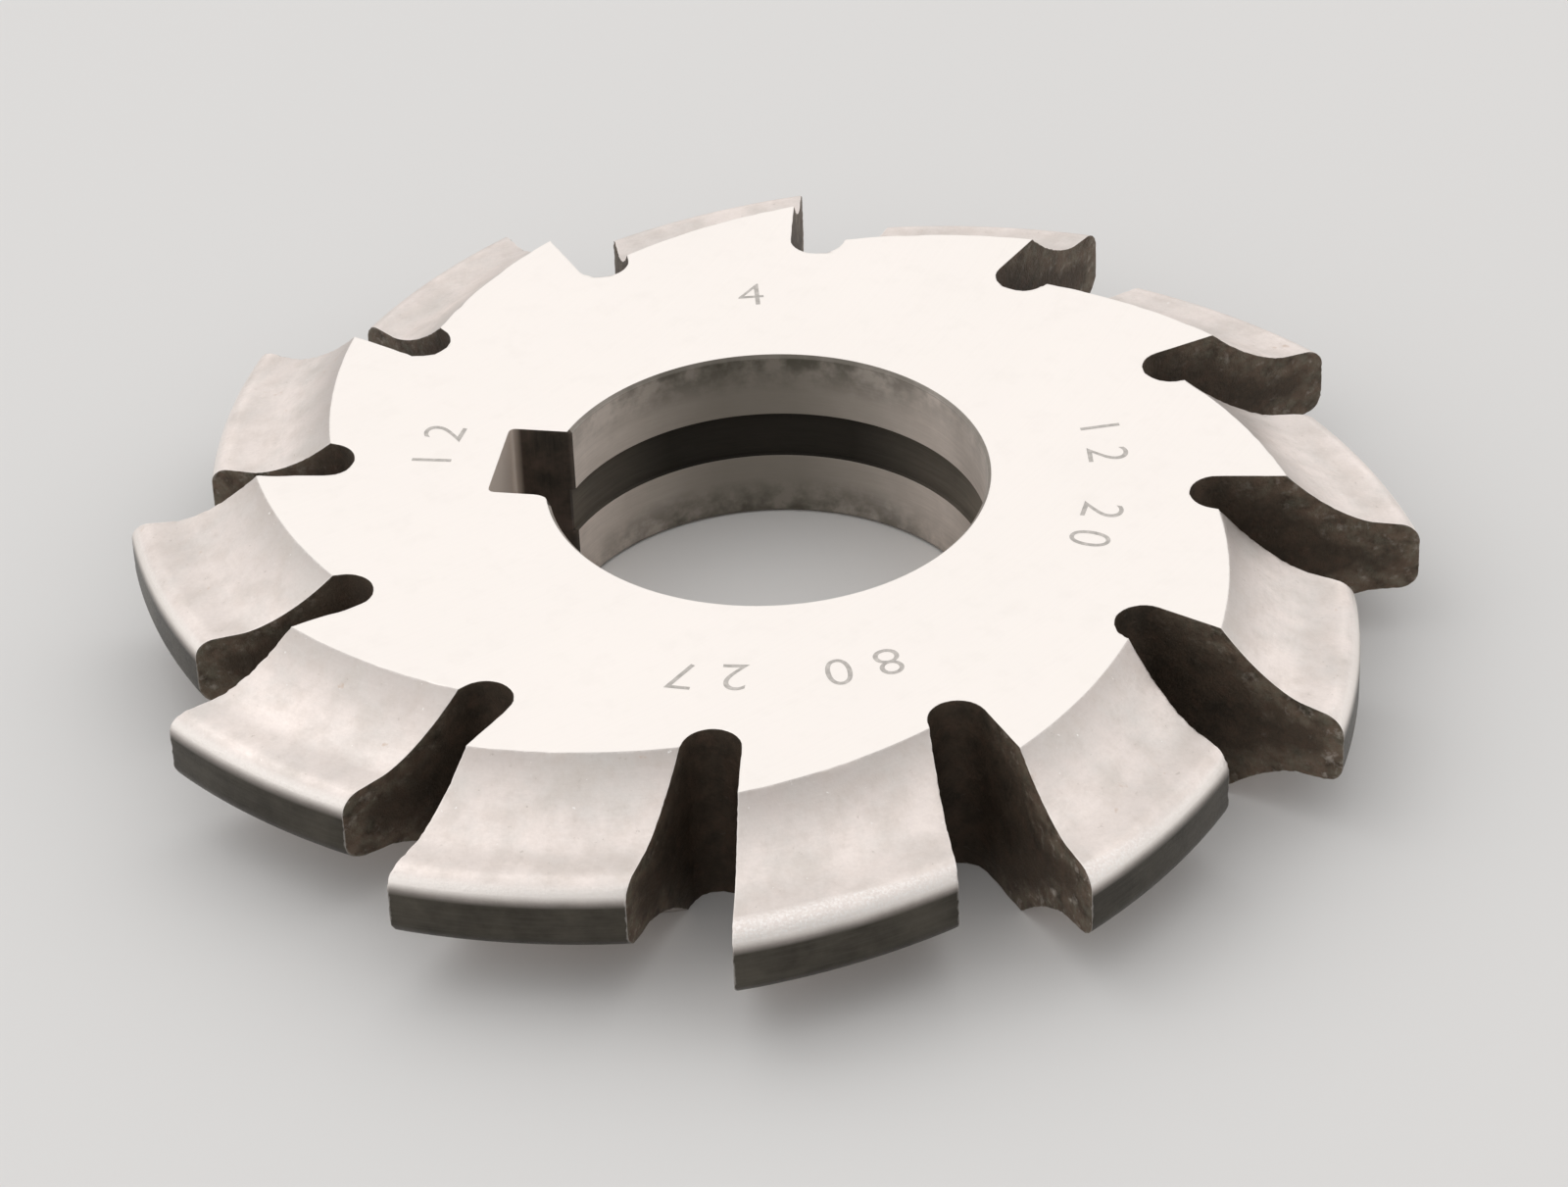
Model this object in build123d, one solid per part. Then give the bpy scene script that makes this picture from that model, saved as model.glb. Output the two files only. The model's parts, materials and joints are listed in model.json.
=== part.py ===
from build123d import *
import os
from math import acos, cos, hypot, pi, radians, sin, tan

# Form-relieved milling cutter for involute gear teeth, one solid of hardened tool steel.
# Millimetres and degrees. The bore's axis is Z, the middle of the width is at z = 0,
# and the keyway lies along -X. Seen from +Z each tooth trails counterclockwise
# behind its cutting face.

# Blank
tip_diameter = 80.0
cutter_width = 12.0

# Gear tooth space that the cutter leaves behind
gear_module = 4.0
gear_teeth = 14
pressure_angle = 20.0
cutting_depth = 8.67
tip_round = 1.3

# Teeth
tooth_count = 12
first_face_angle = 5.9
relief_drop = 5.15

# Gashes between the teeth
gash_depth = 14.2
gash_round = 1.75
gash_angle = 18.0

# Bore, with a ground land at each end and a recess between them
bore_diameter = 27.0
bore_chamfer = 0.2
land_width = 4.4
recess_depth = 0.3

# Keyway, with one edge of its mouth worn rounder than the other
keyway_width = 7.0
keyway_depth = 3.4
keyway_corner_round = 0.4
keyway_mouth_round = 0.3
worn_mouth_round = 1.3

# Cutting tools reach this far past what they cut
overshoot = 3.0

# Values that follow from the sizes above
tip_radius = tip_diameter / 2
half_width = cutter_width / 2
bore_radius = bore_diameter / 2
tooth_pitch = 360 / tooth_count
pitch_radius = gear_module * gear_teeth / 2
base_radius = pitch_radius * cos(radians(pressure_angle))
root_radius = pitch_radius + gear_module - cutting_depth

# The relieved rim turns about its own axis, set off from the bore's, so that the tip
# falls by relief_drop over one tooth pitch and every section keeps the cutting form.
heel_radius = tip_radius - relief_drop
relief_offset = (tip_radius**2 - heel_radius**2) / (2 * heel_radius * sin(radians(tooth_pitch)))


def involute(angle):
    """Involute function of a pressure angle in radians."""
    return tan(angle) - angle


def space_half_angle(gear_radius):
    """Half the angle of the gear's tooth space at a radius of the gear."""
    at_pitch_circle = pi / (2 * gear_teeth) - involute(radians(pressure_angle))
    return at_pitch_circle + involute(acos(base_radius / gear_radius))


def space_half_width(gear_radius):
    """Half the width of the gear's tooth space at a radius of the gear."""
    return gear_radius * sin(space_half_angle(gear_radius))


def gear_radius_at(wanted_half_width):
    """Radius of the gear at which its tooth space has the wanted half width."""
    low = base_radius
    high = base_radius + cutter_width + gear_module
    for _ in range(50):
        middle = (low + high) / 2
        if space_half_width(middle) < wanted_half_width:
            low = middle
        else:
            high = middle
    return low


def turned_point(face_radius, height):
    """Point of the cutting face, seen from the axis that the rim turns about."""
    return hypot(face_radius, relief_offset), height


def space_point(gear_radius):
    """Point of the gear's tooth space as it lies on the cutting face."""
    half_angle = space_half_angle(gear_radius)
    depth = gear_radius * cos(half_angle) - root_radius
    return turned_point(tip_radius - depth, gear_radius * sin(half_angle))


def flank_points(count=7):
    """Points of the involute flank, from the base circle out to the side face."""
    outer_radius = gear_radius_at(half_width)
    step = (outer_radius - base_radius) / (count - 1)
    return [space_point(base_radius + step * index) for index in range(count)]


def tip_corner():
    """Sharp corner between the flank and the tip, before it is rounded."""
    return turned_point(tip_radius, root_radius * tan(space_half_angle(base_radius)))


def relieved_disc():
    """Disc with the cutting form all round its rim, turned about the relief axis."""
    outline = flank_points()
    corner = tip_corner()
    with BuildSketch(Plane.XZ) as section:
        with BuildLine():
            for side in (1, -1):
                flank = [(radius, side * height) for radius, height in outline]
                Polyline((0, 0), (0, side * half_width), flank[-1])
                Spline(flank)
                Line(flank[0], (corner[0], side * corner[1]))
            Line(corner, (corner[0], -corner[1]))
        make_face()
        fillet(section.vertices().sort_by(Axis.X)[-2:], tip_round)
    return Pos(0, -relief_offset, 0) * revolve(section.sketch, Axis.Z)


def gash_plan():
    """Plan of the gash in front of a cutting face that lies along +X."""
    bottom_x = tip_radius - gash_depth + gash_round
    reach = tip_radius + overshoot
    back_start = (
        bottom_x - gash_round * sin(radians(gash_angle)),
        -gash_round - gash_round * cos(radians(gash_angle)),
    )
    back_end = (reach, back_start[1] - (reach - back_start[0]) * tan(radians(gash_angle)))
    with BuildSketch() as plan:
        with BuildLine():
            CenterArc((bottom_x, -gash_round), gash_round, 90, 180 - gash_angle)
            Polyline((bottom_x, 0), (reach, 0), back_end, back_start)
        make_face()
    return plan.sketch


def tooth():
    """One tooth with its wedge of the body, its cutting face along +X."""
    core_radius = tip_radius - gash_depth + gash_round
    blank = relieved_disc() + Cylinder(core_radius, cutter_width)
    with BuildSketch() as plan:
        with BuildLine():
            rim = CenterArc((0, 0), tip_radius + overshoot, 0, tooth_pitch)
            Polyline(rim @ 1, (0, 0), rim @ 0)
        make_face()
    tooth_plan = plan.sketch - Rot(0, 0, tooth_pitch) * gash_plan()
    return blank & extrude(tooth_plan, half_width + overshoot, both=True)


def bore_plan():
    """Plan of the bore with its keyway along -X."""
    floor_x = -bore_radius - keyway_depth
    with BuildSketch() as plan:
        Circle(bore_radius)
        with Locations((floor_x / 2, 0)):
            Rectangle(-floor_x, keyway_width)
        fillet(plan.vertices().sort_by(Axis.X)[:2], keyway_corner_round)
        mouth = plan.vertices().filter_by_position(Axis.X, -bore_radius, 0)
        fillet(mouth.sort_by(Axis.Y)[-1], keyway_mouth_round)
        mouth = plan.vertices().filter_by_position(Axis.X, -bore_radius, 0)
        fillet(mouth.sort_by(Axis.Y)[0], worn_mouth_round)
    return plan.sketch


def bore_chamfers():
    """Cones that open both ends of the bore."""
    cone_height = bore_chamfer + overshoot
    upward = (Align.CENTER, Align.CENTER, Align.MIN)
    cone = Cone(bore_radius, bore_radius + cone_height, cone_height, align=upward)
    top_cone = Pos(0, 0, half_width - bore_chamfer) * cone
    return [top_cone, mirror(top_cone, Plane.XY)]


def gear_cutter():
    """The whole cutter."""
    one_tooth = Rot(0, 0, first_face_angle) * tooth()
    teeth = [Rot(0, 0, tooth_pitch * index) * one_tooth for index in range(tooth_count)]
    body = teeth[0] + teeth[1:]
    body -= extrude(bore_plan(), half_width + overshoot, both=True)
    body -= Cylinder(bore_radius + recess_depth, cutter_width - 2 * land_width)
    return body - bore_chamfers()


os.makedirs("parts", exist_ok=True)
cutter = gear_cutter()
export_step(cutter, "parts/gear_cutter.step")
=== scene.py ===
import bpy
import json
import random
from math import acos, atan2, cos, degrees, hypot, pi, radians, sin, sqrt, tan
from mathutils import Matrix, Vector


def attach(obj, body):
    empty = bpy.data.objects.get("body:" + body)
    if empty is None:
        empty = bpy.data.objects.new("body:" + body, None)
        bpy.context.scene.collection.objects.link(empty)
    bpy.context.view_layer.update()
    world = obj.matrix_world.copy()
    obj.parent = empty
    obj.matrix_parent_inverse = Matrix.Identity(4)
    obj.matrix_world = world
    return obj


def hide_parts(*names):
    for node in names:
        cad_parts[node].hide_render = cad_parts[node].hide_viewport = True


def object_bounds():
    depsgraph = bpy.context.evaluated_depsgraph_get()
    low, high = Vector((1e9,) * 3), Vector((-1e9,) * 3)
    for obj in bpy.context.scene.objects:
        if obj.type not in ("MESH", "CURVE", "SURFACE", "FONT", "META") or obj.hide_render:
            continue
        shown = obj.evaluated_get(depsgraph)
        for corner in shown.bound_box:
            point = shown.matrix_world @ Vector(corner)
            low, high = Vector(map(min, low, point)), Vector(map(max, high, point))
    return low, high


# Dressed form-relieved gear cutter. Shapes are worked out in millimetres and degrees
# and become metres in their meshes. The bore's axis is Z and the keyway lies along -X.
MM = 0.001

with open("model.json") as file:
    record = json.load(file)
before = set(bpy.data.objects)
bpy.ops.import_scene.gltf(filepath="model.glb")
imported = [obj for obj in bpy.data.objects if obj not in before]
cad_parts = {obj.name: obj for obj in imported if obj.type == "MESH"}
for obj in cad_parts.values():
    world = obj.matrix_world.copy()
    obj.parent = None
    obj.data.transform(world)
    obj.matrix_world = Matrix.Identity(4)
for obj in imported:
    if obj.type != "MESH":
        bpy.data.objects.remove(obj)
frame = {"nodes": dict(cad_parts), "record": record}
cad_low, cad_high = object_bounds()
solid = frame["nodes"]["gear_cutter"]
bore_mount = next(mount for mount in frame["record"]["mounts"] if mount["kind"] == "bore")

# Blank, read from the solid and drawn in by a hair so that it stays inside it
skin_allowance = 0.005
tip_radius = max(vertex.co.xy.length for vertex in solid.data.vertices) / MM - skin_allowance
half_width = cad_high.z / MM - skin_allowance
bore_radius = bore_mount["dims"]["r_mm"]

# Gear tooth space that the cutter leaves behind
gear_module = 4.0
gear_teeth = 14
pressure_angle = 20.0
cutting_depth = 8.67
tip_round = 1.3

# Teeth and gashes
tooth_count = 12
first_face_angle = 5.9
relief_drop = 5.15
gash_depth = 14.2
gash_round = 1.75
gash_angle = 18.0

# Bore and keyway
bore_chamfer = 0.2
land_width = 4.4
recess_depth = 0.3
keyway_width = 7.0
keyway_depth = 3.4
keyway_corner_round = 0.4
keyway_mouth_round = 0.3
worn_mouth_round = 1.3

# Plain numbers, each with the angle of its middle, tops outwards. They give the diameter
# and bore, the width and pressure angle, the teeth, and the module.
number_places = [("80 27", -78.0), ("12 20", 4.0), ("12", 177.0), ("4", 102.0)]
number_radius = 20.8
number_lift = 0.003
digit_height = 2.6
digit_height_in_font = 0.7
digit_step = 8.4
digit_drift = 0.15
digit_tilt = 3.0
digit_seed = 4
stroke_trim = 0.035

# Broken edges and nicks
sharp_angle = 30.0
edge_round = 0.035
edge_round_steps = 2
edge_strip = 0.15
nick_depth = 0.08
nick_reach = 0.2
nick_scale = 2.6
nick_seed = 3.0
nicks_from = 22.0

# Steps of the mesh
flank_steps = 26
straight_steps = 5
round_steps = 9
land_steps = 5
tooth_steps = 20
face_steps = 8
heel_steps = 4
floor_front_steps = 7
floor_back_steps = floor_front_steps + face_steps - heel_steps
hub_steps = 5
keyway_round_steps = 3
worn_round_steps = 6
keyway_wall_steps = 4
keyway_floor_steps = 6

# Narrow steps beside sharp edges, as shares of the whole run
flank_edge_step = 0.02
tooth_edge_step = 0.012
face_edge_step = 0.04
heel_edge_step = 0.2
hub_edge_step = 0.015

# Where the patches of the mesh meet and the land has its rows, and how near points are welded
hub_rim_radius = 24.5
under_floor_share = 0.88
land_row_from_side = 1.6
land_row_from_recess = 1.2
weld_distance = 0.002

# Angles of the plan where the bore has its painted shade, a tooth its strongest burnish and painted
# highlight, and a face is scuffed most
painted_shade_wall_angle = 102.0
burnished_highlit_tooth_angle = -73.0
scuffed_face_angle = -62.0

# Camera at the photograph's viewing angle, fitted to the cutter's outline
camera_turn = 10.3
camera_elevation = 35.52
camera_roll = 2.465
camera_distance = 319.5
camera_aim = (-0.98, 7.24)
focal_pixels = 5307.6
image_width = 1600
sensor_width = 36.0

# Pale floor and surroundings, with strengths for their light
floor_reach = 3000.0
floor_gap = 0.02
horizon_light = 0.95
overhead_light = 1.06
dim_side_turn = 35.0
dim_side_light = 0.5

# Finishes, in the order of their numbers on the mesh
GROUND_SIDE, RELIEVED_FLANK, GASH_WALL, BORE_LAND, BORE_RECESS, KEYWAY_WALL = range(6)

# Values that follow
tooth_pitch = 360 / tooth_count
pitch_radius = gear_module * gear_teeth / 2
base_radius = pitch_radius * cos(radians(pressure_angle))
root_radius = pitch_radius + gear_module - cutting_depth
heel_radius = tip_radius - relief_drop
relief_offset = (tip_radius**2 - heel_radius**2) / (2 * heel_radius * sin(radians(tooth_pitch)))
gash_centre = (tip_radius - gash_depth + gash_round, -gash_round)
keyway_floor = -bore_radius - keyway_depth


def turned(point, angle):
    """Point of the plan turned about the bore."""
    c = cos(radians(angle))
    s = sin(radians(angle))
    return (point[0] * c - point[1] * s, point[0] * s + point[1] * c)


def between(a, b, share):
    """Point a share of the way from a to b."""
    return tuple(x + (y - x) * share for x, y in zip(a, b))


def inner_points(a, b, count):
    """Points that part the way from a to b in equal steps, without its ends."""
    return [between(a, b, index / count) for index in range(1, count)]


def rows_between(first_line, last_line, steps):
    """Grid of straight columns from one line of points to another."""
    return [[between(a, b, share) for a, b in zip(first_line, last_line)] for share in steps]


def shares(count, first=0.0, last=0.0):
    """Shares from 0 to 1 in count steps, with a set narrow first or last step."""
    ends = (1 if first else 0) + (1 if last else 0)
    inner = count - ends
    low = first
    high = 1 - last
    steps = [low + (high - low) * index / inner for index in range(inner + 1)]
    return ([0.0] if first else []) + steps + ([1.0] if last else [])


def arc(centre, radius, start, end, count):
    """Points of an arc in the plan."""
    angles = [radians(start + (end - start) * index / count) for index in range(count + 1)]
    return [(centre[0] + radius * cos(a), centre[1] + radius * sin(a)) for a in angles]


def involute(angle):
    """Involute function of a pressure angle in radians."""
    return tan(angle) - angle


def space_half_angle(gear_radius):
    """Half the angle of the gear's tooth space at a radius of the gear."""
    at_pitch_circle = pi / (2 * gear_teeth) - involute(radians(pressure_angle))
    return at_pitch_circle + involute(acos(base_radius / gear_radius))


def gear_radius_at(wanted_half_width):
    """Radius of the gear at which its tooth space has the wanted half width."""
    low = base_radius
    high = base_radius + 3 * wanted_half_width
    for _ in range(50):
        middle = (low + high) / 2
        if middle * sin(space_half_angle(middle)) < wanted_half_width:
            low = middle
        else:
            high = middle
    return low


def fillet_arc(corner, before, after, radius, count):
    """Arc that rounds a corner between two directions that point away from it."""
    before = Vector(before).normalized()
    after = Vector(after).normalized()
    half_corner = before.angle(after) / 2
    reach = radius / tan(half_corner)
    centre = Vector(corner) + (before + after).normalized() * (radius / sin(half_corner))
    start = Vector(corner) + before * reach - centre
    end = Vector(corner) + after * reach - centre
    sweep = start.angle(end)
    points = []
    for index in range(count + 1):
        share = index / count
        spoke = (start * sin((1 - share) * sweep) + end * sin(share * sweep)) / sin(sweep)
        points.append(tuple(centre + spoke))
    return points


def half_section():
    """Cutting form from the side face to the middle, seen from the relief axis."""
    outer_radius = gear_radius_at(half_width)
    flank = []
    for share in shares(flank_steps, first=flank_edge_step):
        gear_radius = outer_radius + (base_radius - outer_radius) * share
        half_angle = space_half_angle(gear_radius)
        face_radius = tip_radius - (gear_radius * cos(half_angle) - root_radius)
        flank.append((hypot(face_radius, relief_offset), gear_radius * sin(half_angle)))
    corner_height = root_radius * tan(space_half_angle(base_radius))
    corner = (hypot(tip_radius, relief_offset), corner_height)
    to_flank = (flank[-1][0] - corner[0], flank[-1][1] - corner[1])
    tip = fillet_arc(corner, to_flank, (0, -1), tip_round, round_steps)
    straight = inner_points(flank[-1], tip[0], straight_steps)
    middle = (tip[-1][0], 0.0)
    return flank + straight + tip + inner_points(tip[-1], middle, land_steps) + [middle]


def full_section():
    """Cutting form from the upper side face to the lower one."""
    upper = half_section()
    return upper + [(radius, -height) for radius, height in reversed(upper[:-1])]


def back_wall():
    """Start and direction of the back wall of the next gash, in the tooth's plan."""
    back = radians(gash_angle)
    start = (gash_centre[0] - gash_round * sin(back), gash_centre[1] - gash_round * cos(back))
    direction = (cos(back), -sin(back))
    return turned(start, tooth_pitch), turned(direction, tooth_pitch)


def heel_point(turned_radius):
    """Where the relieved surface of that radius about the relief axis ends at the back wall."""
    start, direction = back_wall()
    away = (start[0], start[1] + relief_offset)
    along = away[0] * direction[0] + away[1] * direction[1]
    reach = -along + sqrt(along**2 - (away[0] ** 2 + away[1] ** 2 - turned_radius**2))
    return (start[0] + reach * direction[0], start[1] + reach * direction[1])


def relieved_line(turned_radius, steps):
    """Plan of one line of the relieved surface, from the cutting face to the heel."""
    heel = heel_point(turned_radius)
    face_radius = sqrt(turned_radius**2 - relief_offset**2)
    start = atan2(relief_offset, face_radius)
    end = atan2(heel[1] + relief_offset, heel[0])
    line = []
    for share in steps:
        angle = start + (end - start) * share
        line.append((turned_radius * cos(angle), turned_radius * sin(angle) - relief_offset))
    return line


def at_height(plan, height):
    """Points of the plan lifted to one height."""
    return [(x, y, height) for x, y in plan]


class Patches:
    """Grids of points that share their borders, gathered into one mesh."""

    def __init__(self):
        self.points = []
        self.quads = []
        self.finishes = []

    def add(self, rows, finish, turn_over=False):
        """Adds a grid. finish is a number, or a function of the row and the column."""
        start = len(self.points)
        width = len(rows[0])
        for row in rows:
            self.points.extend(row)
        for i in range(len(rows) - 1):
            for j in range(width - 1):
                corner = start + i * width + j
                quad = (corner, corner + 1, corner + width + 1, corner + width)
                self.quads.append(quad[::-1] if turn_over else quad)
                self.finishes.append(finish(i, j) if callable(finish) else finish)

    def add_sides(self, rows):
        """Adds a grid of the plan to the upper and the lower side face."""
        self.add([at_height(row, half_width) for row in rows], GROUND_SIDE, turn_over=True)
        self.add([at_height(row, -half_width) for row in rows], GROUND_SIDE)

    def mesh(self, name):
        """The gathered grids as a smooth mesh in metres, with a finish number on each face."""
        mesh = bpy.data.meshes.new(name)
        mesh.from_pydata([Vector(point) * MM for point in self.points], [], self.quads)
        numbers = mesh.attributes.new("finish", "INT", "FACE")
        numbers.data.foreach_set("value", self.finishes)
        mesh.shade_smooth()
        return mesh


def crossed_patch(left, right, bottom, top, across):
    """Four-sided grid between its borders, rows from bottom to top."""
    rows = []
    left_run = running_shares(left)
    right_run = running_shares(right)
    for index in range(len(left)):
        v = (left_run[index] + right_run[index]) / 2
        row = []
        for column, u in enumerate(across):
            sides = between(left[index], right[index], u)
            ends = between(bottom[column], top[column], v)
            low = between(left[0], right[0], u)
            high = between(left[-1], right[-1], u)
            corners = between(low, high, v)
            row.append(tuple(a + b - c for a, b, c in zip(sides, ends, corners)))
        rows.append(row)
    return rows


def running_shares(line):
    """Share of a line's length that lies before each of its points."""
    run = [0.0]
    for a, b in zip(line, line[1:]):
        run.append(run[-1] + hypot(a[0] - b[0], a[1] - b[1]))
    return [length / run[-1] for length in run]


def gash_floor():
    """Plan of the gash's round bottom in front of the tooth: the front and the back part."""
    nearest = degrees(atan2(-gash_centre[1], -gash_centre[0]))
    front = arc(gash_centre, gash_round, 90, nearest, floor_front_steps)
    back = arc(gash_centre, gash_round, nearest, 270 - gash_angle, floor_back_steps)
    return front, back


def tooth_mesh():
    """One tooth with the gash in front of it and its wedge of both side faces."""
    patches = Patches()
    section = full_section()
    along = shares(tooth_steps, first=tooth_edge_step, last=tooth_edge_step)
    lines = [relieved_line(radius, along) for radius, _ in section]
    flanks = [at_height(line, height) for line, (_, height) in zip(lines, section)]
    patches.add(flanks, RELIEVED_FLANK, turn_over=True)

    # Heights at which each column of the cutting form reaches the bottom of the gash
    face_tops = [line[0] for line in flanks]
    heel_tops = [line[-1] for line in flanks]
    run = running_shares([(x, z) for x, _, z in face_tops])
    floor_heights = [half_width * (1 - 2 * share) for share in run]

    # Cutting face, back wall and round bottom of the gash
    front_floor, back_floor = gash_floor()
    face_foot = front_floor[0]
    wall_foot, _ = back_wall()
    up_face = shares(face_steps, last=face_edge_step)
    up_heel = shares(heel_steps, last=heel_edge_step)
    face_feet = [(*face_foot, height) for height in floor_heights]
    wall_feet = [(*wall_foot, height) for height in floor_heights]
    floor_rows = [[(x, y, height) for height in floor_heights] for x, y in front_floor + back_floor[1:]]
    patches.add(rows_between(face_feet, face_tops, up_face), GASH_WALL)
    patches.add(rows_between(wall_feet, heel_tops, up_heel), GASH_WALL, turn_over=True)
    patches.add(floor_rows, GASH_WALL, turn_over=True)

    # Side faces, between the hub's rim and the tooth
    rim_angle = degrees(atan2(gash_centre[1], gash_centre[0]))
    hub_rim = arc((0, 0), hub_rim_radius, rim_angle, rim_angle + tooth_pitch, tooth_steps)
    under_floor = between(hub_rim[0], back_floor[0], under_floor_share)
    left = [hub_rim[0], under_floor] + front_floor[::-1]
    left += [between(face_foot, lines[0][0], share) for share in up_face[1:]]
    right = [hub_rim[-1]] + [turned(point, tooth_pitch) for point in [under_floor] + back_floor]
    right += [between(wall_foot, lines[0][-1], share) for share in up_heel[1:]]
    patches.add_sides(crossed_patch(left, right, hub_rim, lines[0], along))
    return patches.mesh("tooth")


def mouth_arc(side, radius, count):
    """Rounding of one edge of the keyway's mouth, from the bore to the keyway's wall."""
    # The rounding lies in the metal, tangent to the bore from outside and to the wall
    wall = keyway_width / 2
    centre_y = wall + radius
    centre_x = -sqrt((bore_radius + radius) ** 2 - centre_y**2)
    bore_end = atan2(-centre_y, -centre_x)
    wall_end = -pi / 2
    points = []
    for index in range(count + 1):
        angle = bore_end + (wall_end - bore_end) * index / count
        points.append((centre_x + radius * cos(angle), side * (centre_y + radius * sin(angle))))
    return points


def keyway_plan():
    """Keyway from the far edge of its mouth round its floor to the near edge."""
    wall = keyway_width / 2
    corner_round = (keyway_corner_round, keyway_round_steps)
    far_mouth = mouth_arc(1, keyway_mouth_round, keyway_round_steps)
    near_mouth = mouth_arc(-1, worn_mouth_round, worn_round_steps)[::-1]
    far_corner = fillet_arc((keyway_floor, wall), (1, 0), (0, -1), *corner_round)
    near_corner = fillet_arc((keyway_floor, -wall), (0, 1), (1, 0), *corner_round)
    far_wall = inner_points(far_mouth[-1], far_corner[0], keyway_wall_steps)
    floor = inner_points(far_corner[-1], near_corner[0], keyway_floor_steps)
    near_wall = inner_points(near_corner[-1], near_mouth[0], keyway_wall_steps)
    return far_mouth + far_wall + far_corner + floor + near_corner + near_wall + near_mouth


def bore_plan(rim_start):
    """Outline of the bore and keyway, counterclockwise from one angle, and the keyway's span."""
    keyway = keyway_plan()
    total = tooth_count * tooth_steps
    arc_steps = total - (len(keyway) - 1)
    far_steps = arc_steps // 2
    far_end = degrees(atan2(keyway[0][1], keyway[0][0]))
    near_start = degrees(atan2(keyway[-1][1], keyway[-1][0])) % 360
    far_arc = arc((0, 0), bore_radius, rim_start, far_end, far_steps)
    near_arc = arc((0, 0), bore_radius, near_start, 360 + rim_start, arc_steps - far_steps)
    outline = far_arc[:-1] + keyway + near_arc[1:]
    return outline, range(far_steps, far_steps + len(keyway) - 1)


def opened_to(outline, radius):
    """The outline with the bore opened to a larger radius."""
    opened = []
    for x, y in outline:
        push = max(1.0, radius / hypot(x, y))
        opened.append((x * push, y * push))
    return opened


def hub_mesh():
    """Middle of both side faces with the wall of the bore and the keyway."""
    patches = Patches()
    rim_start = first_face_angle + degrees(atan2(gash_centre[1], gash_centre[0]))
    rim = []
    for tooth in range(tooth_count):
        start = rim_start + tooth * tooth_pitch
        rim += arc((0, 0), hub_rim_radius, start, start + tooth_pitch, tooth_steps)[:-1]
    rim.append(rim[0])
    outline, keyway_span = bore_plan(rim_start)
    mouth_radius = bore_radius + bore_chamfer
    mouth = opened_to(outline, mouth_radius)
    patches.add_sides(rows_between(mouth, rim, shares(hub_steps, first=hub_edge_step)))

    # Rows of the wall, each with its height and radius, from the upper side face to the lower
    recess_half = half_width + skin_allowance - land_width
    recess_radius = bore_radius + recess_depth
    upper = [
        (half_width, mouth_radius),
        (half_width - bore_chamfer, bore_radius),
        (half_width - land_row_from_side, bore_radius),
        (recess_half + land_row_from_recess, bore_radius),
        (recess_half + edge_strip, bore_radius),
        (recess_half, bore_radius),
        (recess_half, recess_radius),
        (recess_half - edge_strip, recess_radius),
    ]
    levels = upper + [(-height, radius) for height, radius in reversed(upper)]
    rows = [at_height(opened_to(outline, radius), height) for height, radius in levels]

    def wall_finish(row, column):
        """Finish of one face of the wall: keyway, recess or land."""
        if column in keyway_span:
            return KEYWAY_WALL
        deepest = max(levels[row][1], levels[row + 1][1])
        if deepest == recess_radius:
            return BORE_RECESS
        return BORE_LAND

    patches.add(rows, wall_finish)
    return patches.mesh("hub")


def put(tree, kind, inputs=None, **settings):
    """Places a node, sets its options, and joins or fills its inputs by name or number."""
    node = tree.nodes.new(kind)
    for name, value in settings.items():
        setattr(node, name, value)
    for key, value in (inputs or {}).items():
        socket = node.inputs[key]
        if isinstance(value, bpy.types.NodeSocket):
            tree.links.new(value, socket)
        else:
            socket.default_value = value
    return node


def maths(tree, operation, a, b=0.0, clamp=False):
    """Result of one operation on two numbers or sockets."""
    inputs = {0: a} if operation == "ABSOLUTE" else {0: a, 1: b}
    return put(tree, "ShaderNodeMath", inputs, operation=operation, use_clamp=clamp).outputs[0]


def times(tree, a, b, clamp=False):
    """Product of two numbers or sockets."""
    return maths(tree, "MULTIPLY", a, b, clamp)


def ranged(tree, value, low, high, to_low=0.0, to_high=1.0):
    """A value stretched from one range to another and held there."""
    inputs = {"Value": value, "From Min": low, "From Max": high, "To Min": to_low, "To Max": to_high}
    return put(tree, "ShaderNodeMapRange", inputs).outputs["Result"]


def band(tree, value, one_edge, other_edge):
    """Mask of the values between two edges, each given from its clear to its full end."""
    return times(tree, ranged(tree, value, *one_edge), ranged(tree, value, *other_edge))


def blend(tree, share, a, b):
    """Colour between two colours or sockets."""
    node = put(tree, "ShaderNodeMix", data_type="RGBA")
    for socket, value in zip((node.inputs[0], node.inputs[6], node.inputs[7]), (share, a, b)):
        if isinstance(value, bpy.types.NodeSocket):
            tree.links.new(value, socket)
        else:
            socket.default_value = (*value, 1.0) if isinstance(value, tuple) else value
    return node.outputs[2]


def mixed(tree, share, a, b):
    """Number between two numbers or sockets."""
    return put(tree, "ShaderNodeMix", {0: share, 2: a, 3: b}).outputs[0]


def new_group(name, kind, takes, gives):
    """Node group with named inputs and outputs, and its two end nodes."""
    tree = bpy.data.node_groups.new(name, kind)
    for socket_name, socket_type, value in takes:
        socket = tree.interface.new_socket(socket_name, in_out="INPUT", socket_type=socket_type)
        if value is not None:
            socket.default_value = value
    for socket_name, socket_type in gives:
        tree.interface.new_socket(socket_name, in_out="OUTPUT", socket_type=socket_type)
    start = tree.nodes.new("NodeGroupInput").outputs
    end = tree.nodes.new("NodeGroupOutput").inputs
    return tree, start, end


NUMBER = "NodeSocketFloat"
WHOLE = "NodeSocketInt"
VECTOR = "NodeSocketVector"
GEOMETRY = "NodeSocketGeometry"


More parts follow.
